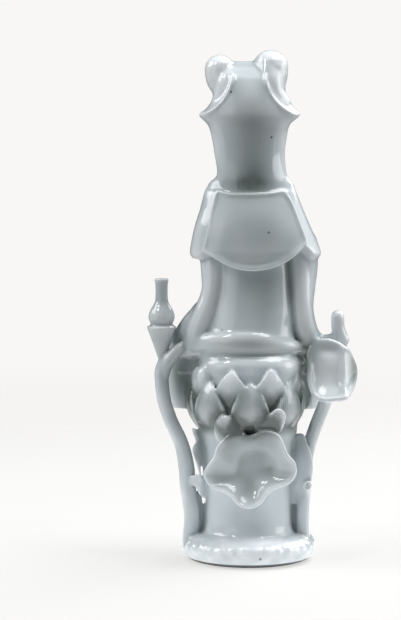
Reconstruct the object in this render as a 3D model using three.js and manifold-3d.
// White porcelain Guanyin, seated on a lotus throne over a round column and foot, with two lotus
// stems: one carries a seed pod and a bottle vase, the other an open leaf with a bird.
// Millimetres, +Z up. The origin is the centre of the foot's underside and the figure faces -Y.

import * as THREE from 'three';
import { mergeVertices } from 'three/addons/utils/BufferGeometryUtils.js';
import Module from 'manifold-3d';

const wasm = await Module();
wasm.setup();

// Driving dimensions of the plinth
const FOOT_RADIUS = 31;
const FOOT_THICK = 12;
const FOOT_EDGE = 5.6; // rounding of the foot's edge
const COLUMN_RADIUS = 20;
const COLUMN_TALL = 45.5;
const THRONE_RADIUS = 24;
const THRONE_TALL = 35;
const PETALS_PER_ROW = 8;
const PETAL_WIDE = 17.5;
const PETAL_THICK = 3.4;

// Driving dimensions of the figure and of what stands beside it
const FIGURE_TALL = 143; // from the throne's top to the higher knot of hair
const STEM_RADIUS = 3.2;
const POD_RADIUS = 6.7;
const POD_TALL = 15;
const VASE_TALL = 22;
const VASE_RADIUS = 6;
const LEAF_THICK = 1.6;
const OPEN_LEAF_WIDE = 41;
const STEM_LEAF_TALL = 27;
const SKIRT_FLUTES = 10;
const PANEL_LIFT = 1.5; // of the cape's back panel over the cape

// Levels
const NECK_Z = FOOT_THICK + COLUMN_TALL;
const SEAT_Z = NECK_Z + THRONE_TALL;

// How finely the forms are faceted
const LIMB_SIDES = 6;
const LATHE_SIDES = 26;
const BLADE_SIDES = 6;
const SLIVER = 0.1; // edges shorter than this close up where solids are joined

// The figure's own points are written for a figure DRAWN_TALL high, sitting at height 0
const DRAWN_TALL = 143;
const SHARE = FIGURE_TALL / DRAWN_TALL;

const TURN = 2 * Math.PI;

// Solid with shared vertices and faces pointing out, from any closed three.js geometry
function solid(geometry) {
  const bare = new THREE.BufferGeometry();
  bare.setAttribute('position', geometry.attributes.position);
  bare.setIndex(geometry.index);
  const merged = mergeVertices(bare);
  const corners = merged.index.array;
  const faces = [];
  const flipped = [];
  for (let i = 0; i < corners.length; i += 3) {
    const [a, b, c] = corners.slice(i, i + 3);
    if (a === b || b === c || c === a) continue;
    faces.push(a, b, c);
    flipped.push(a, c, b);
  }
  const vertProperties = new Float32Array(merged.attributes.position.array);
  const build = (list) => {
    const triVerts = new Uint32Array(list);
    return new wasm.Manifold(new wasm.Mesh({ numProp: 3, vertProperties, triVerts, tolerance: SLIVER }));
  };
  const made = build(faces);
  return made.volume() > 0 ? made : build(flipped);
}

function join(solids) {
  return solids.reduce((whole, next) => whole.add(next));
}

// Loft through closed rings of points, with a fan at each end. Faces are split along their shorter diagonal.
function loft(rings) {
  const sides = rings[0].length;
  const points = rings.flat();
  const corners = [];
  const after = (i) => (i % sides === sides - 1 ? i + 1 - sides : i + 1);
  for (let a = 0; a < points.length - sides; a++) {
    const b = after(a);
    const [c, d] = [b + sides, a + sides];
    const along = points[a].distanceTo(points[c]) < points[b].distanceTo(points[d]);
    corners.push(...(along ? [a, b, c, a, c, d] : [a, b, d, b, c, d]));
  }
  const middle = (ring) => ring.reduce((sum, p) => sum.add(p), new THREE.Vector3()).divideScalar(sides);
  const [first, last, count] = [middle(rings[0]), middle(rings.at(-1)), points.length];
  for (let a = 0; a < sides; a++) {
    const b = count - sides + a;
    corners.push(after(a), a, count, b, after(b), count + 1);
  }
  return new THREE.BufferGeometry().setFromPoints([...points, first, last]).setIndex(corners);
}

// Smooth reading of columns of numbers between stations; t runs from 0 to 1
function between(stations) {
  const last = stations.length - 1;
  return (t) => {
    const place = Math.min(t * last, last - 1e-9);
    const i = Math.floor(place);
    const f = place - i;
    const [p, q, r, s] = [i - 1, i, i + 1, i + 2].map((k) => stations[Math.min(Math.max(k, 0), last)]);
    return q.map((value, k) => {
      const bend = 2 * p[k] - 5 * value + 4 * r[k] - s[k] + f * (3 * value - p[k] - 3 * r[k] + s[k]);
      return value + 0.5 * f * (r[k] - p[k] + f * bend);
    });
  };
}

// Stack of ovals. Each station: height, reach to +X, reach to -X, front, back, squareness (2 is an ellipse).
// flute(a, z) widens a ring at the angle a, and drop(a, z) lowers it.
function ovals(stations, rings, sides, flute = () => 1, drop = () => 0) {
  const read = between(stations);
  const sections = [];
  for (let i = 0; i <= rings; i++) {
    const [z, right, left, front, back, power] = read(i / rings);
    const ring = [];
    for (let j = 0; j < sides; j++) {
      const a = (j / sides) * TURN;
      const reach = flute(a, z);
      const x = Math.sign(Math.cos(a)) * Math.abs(Math.cos(a)) ** (2 / power) * reach;
      const y = Math.sign(Math.sin(a)) * Math.abs(Math.sin(a)) ** (2 / power) * reach;
      ring.push(new THREE.Vector3(
        (right + left) / 2 + (x * (right - left)) / 2,
        (front + back) / 2 + (y * (back - front)) / 2,
        z - drop(a, z),
      ));
    }
    sections.push(ring);
  }
  return loft(sections);
}

// Round-ended limb along points [x, y, z, radius]; flat presses it across its own second axis
function limb(points, steps, sides = LIMB_SIDES, flat = 1) {
  const curve = new THREE.CatmullRomCurve3(points.map(([x, y, z]) => new THREE.Vector3(x, y, z)));
  const radius = between(points.map((p) => [p[3]]));
  const frames = curve.computeFrenetFrames(steps, false);
  const sections = [];
  const ring = (i, along, r) => {
    const centre = curve.getPointAt(i / steps).addScaledVector(frames.tangents[i], along);
    sections.push(Array.from({ length: sides }, (_, j) => {
      const a = (j / sides) * TURN;
      return centre.clone()
        .addScaledVector(frames.normals[i], r * Math.cos(a))
        .addScaledVector(frames.binormals[i], r * flat * Math.sin(a));
    }));
  };
  const [first, last] = [radius(0)[0], radius(1)[0]];
  ring(0, -first * 0.95, first * 0.3);
  ring(0, -first * Math.SQRT1_2, first * Math.SQRT1_2);
  for (let i = 0; i <= steps; i++) ring(i, 0, radius(curve.getUtoTmapping(i / steps))[0]);
  ring(steps, last * Math.SQRT1_2, last * Math.SQRT1_2);
  ring(steps, last * 0.95, last * 0.3);
  return loft(sections);
}

function egg(centre, radii, wide = 12, tall = 8) {
  return new THREE.SphereGeometry(1, wide, tall).rotateX(Math.PI / 2).scale(...radii).translate(...centre);
}

// Turned shape about Z from profile points [radius, height]
function turned(profile, sides) {
  const points = profile.map(([radius, height]) => new THREE.Vector2(radius, height));
  return new THREE.LatheGeometry(points, sides).rotateX(Math.PI / 2);
}

// Thin cupped leaf drawn in the XZ plane with its hollow towards +Y. The outline's points are [x, z] from
// the leaf's centre, and cup(s, x, z) says how far the point at s of the way to the rim stands forward.
function cuppedLeaf(outline, scale, cup, sides, rings) {
  const rim = new THREE.CatmullRomCurve3(outline.map(([x, z]) => new THREE.Vector3(x, 0, z)), true)
    .getPoints(sides).slice(0, -1);
  const layer = (s, lift) => rim.map(({ x, z }) =>
    new THREE.Vector3(x * s * scale, cup(s, x, z) * scale + lift, z * s * scale));
  const steps = Array.from({ length: rings + 1 }, (_, i) => i / rings);
  return loft([...steps.map((s) => layer(s, 0)), ...steps.reverse().map((s) => layer(s, -LEAF_THICK))]);
}

// Foot: a disc with a fully rounded edge
function foot() {
  const rim = FOOT_RADIUS - FOOT_EDGE;
  const profile = [[0, 0], [rim + 0.5, 0]];
  for (let a = -60; a <= 60; a += 30) {
    const turn = THREE.MathUtils.degToRad(a);
    profile.push([rim + FOOT_EDGE * Math.cos(turn), FOOT_THICK / 2 + (FOOT_THICK / 2 - 0.8) * Math.sin(turn)]);
  }
  profile.push([rim - 0.5, FOOT_THICK], [0, FOOT_THICK]);
  return solid(turned(profile, LATHE_SIDES));
}

// Column and the throne's core, which swells to the seat
function column() {
  const profile = [
    [0, FOOT_THICK / 2],
    [COLUMN_RADIUS + 1.2, FOOT_THICK / 2],
    [COLUMN_RADIUS + 1, FOOT_THICK + 1],
    [COLUMN_RADIUS, FOOT_THICK + COLUMN_TALL * 0.35],
    [COLUMN_RADIUS + 0.6, FOOT_THICK + COLUMN_TALL * 0.75],
    [COLUMN_RADIUS + 2, NECK_Z],
    [THRONE_RADIUS, NECK_Z + THRONE_TALL * 0.4],
    [THRONE_RADIUS + 0.8, NECK_Z + THRONE_TALL * 0.7],
    [THRONE_RADIUS - 2, SEAT_Z],
    [0, SEAT_Z],
  ];
  return solid(turned(profile, LATHE_SIDES));
}

// Pointed blade along points [x, y, z, half width]. Its width runs along across, its outer face along
// across x tangent, and curl draws both edges back from that face.
function blade(points, across, thick, curl, steps) {
  const curve = new THREE.CatmullRomCurve3(points.map(([x, y, z]) => new THREE.Vector3(x, y, z)));
  const half = between(points.map((p) => [p[3]]));
  const sections = [];
  for (let i = 0; i <= steps; i++) {
    const centre = curve.getPoint(i / steps);
    const outward = new THREE.Vector3().crossVectors(across, curve.getTangent(i / steps)).normalize();
    const [wide] = half(i / steps);
    sections.push(Array.from({ length: BLADE_SIDES }, (_, j) => {
      const a = (j / BLADE_SIDES) * TURN;
      const lift = Math.sin(a) * Math.min(thick, wide) * 0.5 - curl * (Math.cos(a) * wide) ** 2;
      return centre.clone().addScaledVector(across, Math.cos(a) * wide).addScaledVector(outward, lift);
    }));
  }
  return loft(sections);
}

// One lotus petal at angle 0, its root sunk in the throne's neck and its tip standing off the core
function petal(tipZ, rootZ, standOff) {
  const neck = COLUMN_RADIUS + 0.2 + standOff;
  const swell = THRONE_RADIUS + 1 + standOff;
  // share of the way out from the neck to the swell, share of the half width
  const shape = [[-0.8, 0.6], [0.2, 0.88], [0.64, 1], [0.87, 0.92], [0.98, 0.62], [1.05, 0.04]];
  const points = shape.map(([out, wide], k) =>
    [neck + (swell - neck) * out, 0, rootZ + ((tipZ - rootZ) * k) / 5, (PETAL_WIDE / 2) * wide]);
  return blade(points, new THREE.Vector3(0, 1, 0), PETAL_THICK, 0.6 / THRONE_RADIUS, 6);
}

function petals() {
  const rows = [
    { tip: SEAT_Z - 2.4, root: NECK_Z + 8, standOff: 0, shift: 0.5 },
    { tip: SEAT_Z - 9.2, root: NECK_Z + 1, standOff: 1.3, shift: 0 },
  ];
  return rows.flatMap(({ tip, root, standOff, shift }) =>
    Array.from({ length: PETALS_PER_ROW }, (_, k) =>
      solid(petal(tip, root, standOff).rotateZ(Math.PI / 2 + ((k + shift) / PETALS_PER_ROW) * TURN))));
}

// Cowl over the head: sections through the back seam, the two crests, the sides and the front edge.
// Each station: height, side +X, side -X, side depth, crest reach, crest depth, back, front reach, front depth
function cowl() {
  const stations = [
    [78, 17, 18.5, 0, 12, 8, 10.5, 10, -9],
    [84, 15.6, 18.6, 0, 11.5, 7.8, 10.5, 9.5, -9],
    [88, 14.4, 17, 0, 11, 7.4, 10.5, 9.5, -9.5],
    [95, 15.8, 16.5, 0, 11.5, 8, 11.3, 9.5, -10.5],
    [103, 17.2, 17.4, 0, 12.5, 8.6, 12.3, 10, -11.5],
    [108.5, 19, 18.7, 0.5, 15, 8.4, 12.8, 10.5, -12],
    [112.9, 22.9, 23.3, 1, 20.5, 5.2, 12.9, 11, -12.5],
    [116, 19.5, 21, 0.5, 15.6, 9, 12.9, 11, -12.5],
    [121, 16.6, 17.4, 0, 10.8, 10.4, 12.2, 11, -12.5],
    [126, 17.6, 16.5, -1, 8.6, 10.2, 11, 11, -12],
    [130.5, 19.4, 17.3, -2, 7.4, 8.6, 9.2, 10.5, -11],
    [134.5, 18.2, 16.5, -3, 7, 4.4, 5, 9.5, -10],
    [137.4, 13, 12, -4, 6.5, 0.5, 0.8, 6.5, -8],
  ];
  const sections = stations.map(([z, right, left, sideY, crest, crestY, back, front, frontY]) => {
    const outline = new THREE.CatmullRomCurve3([
      [right, sideY], [crest, crestY], [0, back], [-crest, crestY], [-left, sideY],
      [-front, frontY], [0, frontY - 1], [front, frontY],
    ].map(([x, y]) => new THREE.Vector3(x, y, z)), true);
    return outline.getPoints(3 * outline.points.length).slice(0, -1); // three to a span, on each crest
  });
  return loft(sections);
}

// Cape over the shoulders; swell lifts its outside and lower brings its hem down
function cape(swell = 0, lower = 0) {
  return ovals([
    [85.5, 13 + swell, -15.5 - swell, -7 - swell, 8 + swell, 2.2],
    [82.5, 17.4 + swell, -19.6 - swell, -9 - swell, 11 + swell, 2.2],
    [77, 20.6 + swell, -22 - swell, -11 - swell, 12.4 + swell, 2.3],
    [70, 22.4 + swell, -24.8 - swell, -13 - swell, 13 + swell, 2.4],
    [62, 24.9 + swell, -28.2 - swell, -14.5 - swell, 14 + swell, 2.5],
    [54, 26.6 + swell, -31.8 - swell, -15.5 - swell, 15 + swell, 2.5],
    [49.5, 27 + swell, -33.1 - swell, -15.8 - swell, 15.4 + swell, 2.5],
    [47.2 - lower, 25.8 + swell, -31.6 - swell, -15 - swell, 14.6 + swell, 2.4],
  ], 7, 24);
}

// Front opening of the cape, from the neck to the hem
const frontOpening = [[-6, 90], [6, 90], [7.6, 74], [10, 60], [14.5, 38], [-15.5, 38], [-11, 60], [-8.4, 74]];

const flat = (points) => points.map(([x, z]) => new THREE.Vector2(x, z));

// Block with an outline drawn in the XZ plane, from the middle of the figure to behind or in front of it
function block(outline, behind) {
  const prism = new THREE.ExtrudeGeometry(outline, { depth: 40, bevelEnabled: false, curveSegments: 3 });
  return solid(prism.rotateX(Math.PI / 2).translate(0, behind ? 40.5 : -0.5, 0));
}

// Back panel of the cape, with a rounded hem
function capePanel() {
  const outline = new THREE.Shape();
  outline.moveTo(14, 80);
  outline.splineThru(flat([[16.5, 70.6], [18.6, 59.3], [20.4, 51.6]]));
  outline.splineThru(flat([[10.8, 46.6], [-2.8, 43.8], [-17, 48], [-25.9, 55.7]]));
  outline.splineThru(flat([[-24, 60.7], [-18.6, 75.2], [-15.9, 78.6]]));
  outline.closePath();
  return solid(cape(PANEL_LIFT, 8)).intersect(block(outline, true));
}

// Two lapels that cross on the chest
function lapels() {
  const over = new THREE.Shape(flat([[7, 88], [12, 84], [5, 64], [-2, 44], [-9, 42], [-5, 52], [1.5, 66]]));
  const under = new THREE.Shape(flat([[-7.8, 88], [-12.8, 84], [-9, 66], [-4.5, 55], [-0.5, 63], [-3.5, 70]]));
  return [over, under].map((outline) => solid(trunk(PANEL_LIFT)).intersect(block(outline, false)));
}

// Robe behind the arms, which closes the space between them, the trunk and the lap
function robe() {
  return ovals([
    [-6, 33, -32, -16, 5, 2.2],
    [6, 30, -29, -15, 6.5, 2.2],
    [14, 25, -26, -13, 7, 2.2],
    [22, 19.6, -25, -12, 6.6, 2.4],
    [33, 16.6, -24.6, -11, 6, 2.4],
    [44, 18, -26, -11, 5, 2.4],
    [54, 19, -27, -10, 3, 2.2],
  ], 6, 16);
}

// Trunk between the arms, widening into the lap; swell lifts its front
function trunk(swell = 0) {
  return ovals([
    [-4, 22, -21, -14 - swell, 19, 2.1],
    [6, 24, -22.6, -16 - swell, 19.4, 2.2],
    [15, 21.5, -21, -16 - swell, 18.4, 2.2],
    [24, 16.4, -19, -15 - swell, 16.6, 2.3],
    [33, 13, -17.4, -14 - swell, 14.6, 2.4],
    [42, 12.4, -17, -13.5 - swell, 13.6, 2.4],
    [54, 13, -16, -13 - swell, 12, 2.4],
    [66, 15, -17, -13 - swell, 11, 2.2],
    [78, 12, -13, -10.6 - swell, 9, 2.1],
    [87, 7, -8, -8 - swell, 6, 2],
  ], 9, 18);
}

// Two folds of the robe round the back of the seat
function rolls() {
  const upper = [[22, 3, 5.5, 4.4], [15.6, 13, 7.8, 5], [1, 16.6, 9.4, 5.4], [-13.4, 13, 8, 5],
    [-19.4, 3, 5.5, 4.4]];
  const lower = [[23, 3, -2.6, 4.2], [16, 14.8, -2.5, 4.6], [0, 18.8, -2.4, 4.8], [-14, 14.8, -2.5, 4.6],
    [-19.6, 3, -2.6, 4.2]];
  return [solid(limb(upper, 7, 7)), solid(limb(lower, 7, 7))];
}

// Upper arm and sleeve on both sides, then the forearm that meets the other in the lap
function arms() {
  const nearArm = [[17, 2, 54, 6], [16.2, 5, 40, 5.6], [16.2, 6, 31, 5.4], [17.8, 5.4, 25, 6], [24, 2, 16.7, 6.8],
    [29.4, -4, 8, 7]];
  const farArm = [[-23, 2, 54, 8.6], [-23.8, 3, 44, 8], [-23.6, 5, 33, 6.8], [-24, 5, 23, 6], [-26.4, 1, 12.4, 6],
    [-31.5, -5, 4, 6]];
  const nearSleeve = [[18.5, 0, 25, 5.4], [20.6, -9, 18.5, 7.4], [14, -19, 14.6, 8.4], [5, -24.4, 12, 7]];
  const farSleeve = [[-23, 0, 24, 5.6], [-23, -9, 18.5, 7.4], [-15, -19, 14.6, 8.4], [-6, -24.4, 12, 7]];
  const nearFall = [[11, -20, 11, 9], [15, -26, 3, 7], [18, -29, -7, 4.4], [18.5, -30.4, -13, 1.4]];
  const farFall = [[-12, -20, 11, 9], [-16, -26, 3, 7], [-19, -29, -7, 4.4], [-19.5, -30.4, -13, 1.4]];
  const hands = egg([-0.4, -27, 12], [5, 4.4, 4], 8, 6);
  const long = [nearArm, farArm, nearSleeve, farSleeve].map((points) => solid(limb(points, 6)));
  return [...long, solid(limb(nearFall, 3)), solid(limb(farFall, 3)), solid(hands)];
}

// Crossed legs under the robe, whose skirt falls over the throne's front in flutes
function lap() {
  const low = (z) => THREE.MathUtils.smoothstep(6 - z, 0, 26);
  const ahead = (a) => Math.max(0, -Math.sin(a)) ** 0.5;
  const flute = (a, z) => 1 + 0.07 * Math.cos(SKIRT_FLUTES * a) * low(z) * ahead(a);
  const drop = (a, z) => (1.4 * Math.cos(SKIRT_FLUTES * a) * ahead(a) - 5 * ahead(a) ** 4) * low(z);
  const skirt = ovals([
    [-23.4, 34.8, -33.4, -28.5, 0, 2.4],
    [-14, 36.4, -34.6, -29.5, 1, 2.4],
    [-4, 37.2, -35.8, -30.5, 2, 2.3],
    [5, 37, -36, -30.5, 2, 2.2],
    [11, 34, -33.5, -28.5, 1, 2.1],
    [15.5, 26, -26, -24, -1, 2],
    [17.5, 14, -14, -18, -6, 2],
  ], 6, 3 * SKIRT_FLUTES, flute, drop);
  const shins = [
    [[29, -15, 2, 7], [14, -24.5, 3, 7], [0, -29, 0, 5.6], [-9, -30, -3, 3.4]],
    [[-29, -15, 2, 7], [-14, -23.5, 1, 7], [2, -27.5, -5, 6], [12, -29.5, -8, 3.6]],
  ];
  return [
    solid(skirt),
    solid(egg([23, -14, 4.5], [14, 15.5, 10.5], 10, 7)),
    solid(egg([-23, -14, 4.5], [14, 15.5, 10.5], 10, 7)),
    ...shins.map((points) => solid(limb(points, 5))),
  ];
}

// Face: an egg with brow, closed lids, nose, lips and chin raised by round swellings
function face() {
  const swellings = [
    // across, up, height, half width, half height
    [0, 0.06, 0.16, 0.12, 0.24], // nose
    [0, -0.12, 0.14, 0.17, 0.08], // nose tip
    [0.37, 0.15, -0.1, 0.22, 0.1], // eye hollows
    [-0.37, 0.15, -0.1, 0.22, 0.1],
    [0.37, 0.08, 0.07, 0.2, 0.06], // lids
    [-0.37, 0.08, 0.07, 0.2, 0.06],
    [0, -0.39, 0.1, 0.2, 0.07], // lips
    [0, -0.74, 0.1, 0.26, 0.14], // chin
  ];
  const geometry = new THREE.SphereGeometry(1, 24, 18).rotateX(Math.PI / 2);
  const place = geometry.attributes.position;
  for (let i = 0; i < place.count; i++) {
    const [x, y, z] = [place.getX(i), place.getY(i), place.getZ(i)];
    const ahead = THREE.MathUtils.smoothstep(-y, 0.02, 0.4);
    const lift = ahead * swellings.reduce((sum, [across, up, height, wide, tall]) =>
      sum + height * Math.exp(-(((x - across) / wide) ** 2) - ((z - up) / tall) ** 2), 0);
    place.setY(i, y - lift);
  }
  return geometry.scale(9.8, 8.8, 12.6).translate(-0.4, -6.6, 105);
}

function head() {
  const opening = solid(egg([-0.4, -15, 107.5], [11.6, 12.8, 22.5], 14, 10));
  const shell = solid(cowl()).subtract(opening);
  return [
    shell,
    solid(face()),
    solid(egg([-0.4, -5.2, 110], [11, 9.4, 11], 12, 8)), // hair
    solid(egg([-0.4, -7.5, 123.5], [5.6, 5.4, 5.4], 10, 7)), // top knot
    solid(egg([9.9, -8.6, 104], [1.5, 2.2, 4.6], 6, 5)), // ears
    solid(egg([-10.7, -8.6, 104], [1.5, 2.2, 4.6], 6, 5)),
    solid(egg([13.9, -3.5, 134], [6.9, 6.4, 6.9])), // cowl over the two loops of hair
    solid(egg([-10.3, -4, 134.6], [8, 7, 8.4])),
    solid(limb([[-0.4, -4, 97, 5.8], [-0.4, -3.4, 84, 6.6]], 2, 10)), // neck
  ];
}

// Plain necklace on the chest
function necklace() {
  const points = [[8, -8.4, 82, 1], [4.6, -11.6, 76, 1], [-0.4, -12.8, 73, 1.6], [-5.4, -11.6, 76, 1],
    [-9, -8.4, 82, 1]];
  return solid(limb(points, 6, 5));
}

function figure() {
  const cloak = solid(cape()).subtract(block(new THREE.Shape(flat(frontOpening)), false));
  const parts = [
    cloak, capePanel(), ...lapels(), necklace(), solid(robe()), solid(trunk()), ...rolls(), ...arms(), ...lap(),
    ...head(),
  ];
  return join(parts).scale(SHARE).translate(0, 0, SEAT_Z);
}

// Stem points are [x, y, share of the way up to the stem's top]. It rises beside the column and clears
// the knees.
function stem(points, top, radius) {
  const low = FOOT_THICK - 3;
  const root = (COLUMN_RADIUS + 7) / 27;
  const placed = points.map(([x, y, share]) =>
    [x * THREE.MathUtils.lerp(root, SHARE, share), y, low + (top - low) * share, radius]);
  return solid(limb(placed, 11));
}

// Stem with the seed pod and the vase, and the side shoot that holds it to the sleeve
function vaseStem() {
  const podZ = SEAT_Z + 1.2;
  const axis = [40 * SHARE, 5];
  const points = [
    [27, 4, 0], [26.2, 4, 0.14], [27.8, 4, 0.27], [28.6, 4, 0.4], [31, 4, 0.53], [36, 4, 0.66], [39.2, 5, 0.77],
    [40.2, 5, 0.88], [40, 5, 1],
  ];
  const shoot = [[39.6, 5, -7.5], [37, 4, 0], [33.4, 1, 5], [29.5, -3, 7.5]]
    .map(([x, y, z]) => [x * SHARE, y, SEAT_Z + z * SHARE, STEM_RADIUS * 0.72]);
  const rim = podZ + POD_TALL;
  const pod = turned([[0, 0], [1.4, 0], [POD_RADIUS, POD_TALL - 1], [POD_RADIUS, POD_TALL], [0, POD_TALL]], 14);
  const vase = turned([
    [0, -0.6], [VASE_RADIUS * 0.72, -0.6], [VASE_RADIUS * 0.76, 0.6], [VASE_RADIUS, VASE_TALL * 0.17],
    [VASE_RADIUS * 0.9, VASE_TALL * 0.32], [VASE_RADIUS * 0.56, VASE_TALL * 0.46],
    [VASE_RADIUS * 0.46, VASE_TALL * 0.62], [VASE_RADIUS * 0.46, VASE_TALL * 0.86],
    [VASE_RADIUS * 0.54, VASE_TALL * 0.95], [VASE_RADIUS * 0.45, VASE_TALL], [0, VASE_TALL],
  ], 12);
  return [
    stem(points, podZ + 1.5, STEM_RADIUS),
    solid(limb(shoot, 6)),
    solid(pod.translate(...axis, podZ)),
    solid(vase.translate(...axis, rim)),
  ];
}

// Stem with the open leaf, and the bird behind the leaf
function leafStem() {
  const top = SEAT_Z - 12;
  const points = [
    [-25.6, 4, 0], [-25.2, 4, 0.16], [-25.7, 4, 0.31], [-26.1, 4, 0.46], [-27.6, 4, 0.6], [-31, 4, 0.75],
    [-34.6, 4, 0.88], [-37, 6, 1],
  ];
  const outline = [[10.4, 7.3], [8.1, 11.3], [2.8, 13.3], [-3.3, 11.7], [-8.3, 8], [-10, 4.6], [-11.9, -0.8],
    [-10.8, -7.5], [-6.8, -12.9], [-2.1, -13.6], [3.3, -14], [7.3, -12.3], [10, -6.2], [10.1, 0.6]];
  const cup = (s, x) => 5 * s ** 2.2 - 0.09 * s ** 2 * Math.max(0, -x - 5) ** 2;
  const leaf = cuppedLeaf(outline, STEM_LEAF_TALL / 27.3, cup, 21, 3).translate(-37.5 * SHARE, 7, top + 9);
  const bird = [ // neck and back, then the wing that reaches to the sleeve
    [[-41.4, 0, 19.1, 3], [-42.6, 0.5, 14.5, 3.2], [-43, 2, 9.5, 3.6], [-39, 3, 5.5, 3.4]],
    [[-44, 1, 10.5, 2.6], [-38, 0, 10.1, 2.8], [-31, -2, 9, 2.4]],
  ].map((spine) => {
    const points = spine.map(([x, y, z, radius]) => [x * SHARE, y, SEAT_Z + z * SHARE, radius]);
    return solid(limb(points, 5));
  });
  return [stem(points, top, STEM_RADIUS * 0.94), solid(leaf), ...bird];
}

// Leaves applied to the column: the open five-lobed leaf with two small ones above, and one at each side
function columnLeaves() {
  const outline = [[0, 15.4], [-7.2, 17.6], [-12.7, 16], [-15.3, 11.3], [-17, 7.3], [-20.2, 3.3], [-20.6, -1.4],
    [-17.9, -5.2], [-12.2, -7.3], [-7.9, -9.9], [-4.7, -14.3], [-0.1, -16.2], [4.2, -15.2], [8, -11.4],
    [12, -9.2], [16.6, -7.4], [20.1, -2.1], [19, 1.1], [15.5, 6], [14.4, 10.1], [11.5, 13.6], [7.4, 15.8]];
  const cup = (s, x, z) => 9.5 * s ** 1.7 - 0.16 * z * s ** 3;
  const open = cuppedLeaf(outline, OPEN_LEAF_WIDE / 40.7, cup, 33, 3)
    .translate(-0.4, COLUMN_RADIUS, FOOT_THICK + COLUMN_TALL * 0.725);
  // spine points are shares of the column's radius and height, then the half width; then the way across
  const leaves = [
    // small leaves above the open one
    [[0.43, 1, 0.99, 1.5], [0.6, 1.25, 1.1, 4], [0.58, 1.38, 1.21, 3.2], [0.43, 1.4, 1.27, 0.4],
      [-1, 0.1, 0]],
    [[-0.3, 1, 1.01, 1.5], [-0.5, 1.28, 1.14, 3.4], [-0.65, 1.38, 1.25, 3], [-0.75, 1.4, 1.34, 0.4],
      [-0.9, 0, -0.44]],
    // side leaves against the column
    [[0.98, 0.3, 0.42, 1.2], [1.13, 0.38, 0.64, 3.6], [1.16, 0.38, 0.88, 3.8], [1.15, 0.35, 1.13, 0.4],
      [0.45, 0.89, 0]],
    [[-0.98, 0.3, 0.4, 1.4], [-1.16, 0.4, 0.62, 3.8], [-1.2, 0.4, 0.86, 3.6], [-1.15, 0.36, 1.11, 0.4],
      [-0.86, 0.5, 0]],
    // leaf on the column's front
    [[0, -0.95, 0.22, 1.5], [0.15, -1.04, 0.44, 5.5], [0.1, -1.06, 0.68, 5], [-0.1, -1.1, 0.88, 0.4],
      [1, 0, 0]],
  ].map((row) => {
    const across = row.at(-1);
    const points = row.slice(0, -1).map(([x, y, z, wide]) =>
      [x * COLUMN_RADIUS, y * COLUMN_RADIUS, FOOT_THICK + z * COLUMN_TALL, wide]);
    return solid(blade(points, new THREE.Vector3(...across).normalize(), LEAF_THICK * 1.6, 0.02, 5));
  });
  // clay that closes the gap between each stem's lower end and the column
  const gap = COLUMN_RADIUS + 3.2;
  const webs = [[gap, 0.4], [-gap, 0.5]].map(([x, share]) =>
    solid(limb([[x, 1, FOOT_THICK - 2, 2.8], [x, 1, FOOT_THICK + COLUMN_TALL * share, 1.6]], 1)));
  const bud = egg([-COLUMN_RADIUS - 6.6, 8.4, FOOT_THICK + COLUMN_TALL * 0.63], [2, 2.2, 2.4], 6, 5);
  return [solid(open), ...leaves, ...webs, solid(bud)];
}

function porcelain() {
  const plinth = [foot(), column(), ...petals()];
  const whole = join([...plinth, figure(), ...vaseStem(), ...leafStem(), ...columnLeaves()]);
  const { vertProperties, triVerts, numProp } = whole.getMesh();
  const geometry = new THREE.BufferGeometry();
  geometry.setAttribute('position', new THREE.BufferAttribute(vertProperties, numProp));
  geometry.setIndex(Array.from(triVerts));
  geometry.computeVertexNormals();
  return geometry;
}

const glaze = new THREE.MeshStandardMaterial({ color: '#dfe4e3', roughness: 0.12, metalness: 0 });

const object = new THREE.Group();
const statue = new THREE.Mesh(porcelain(), glaze);
statue.name = 'guanyin_figure';
object.add(statue);

export default object;
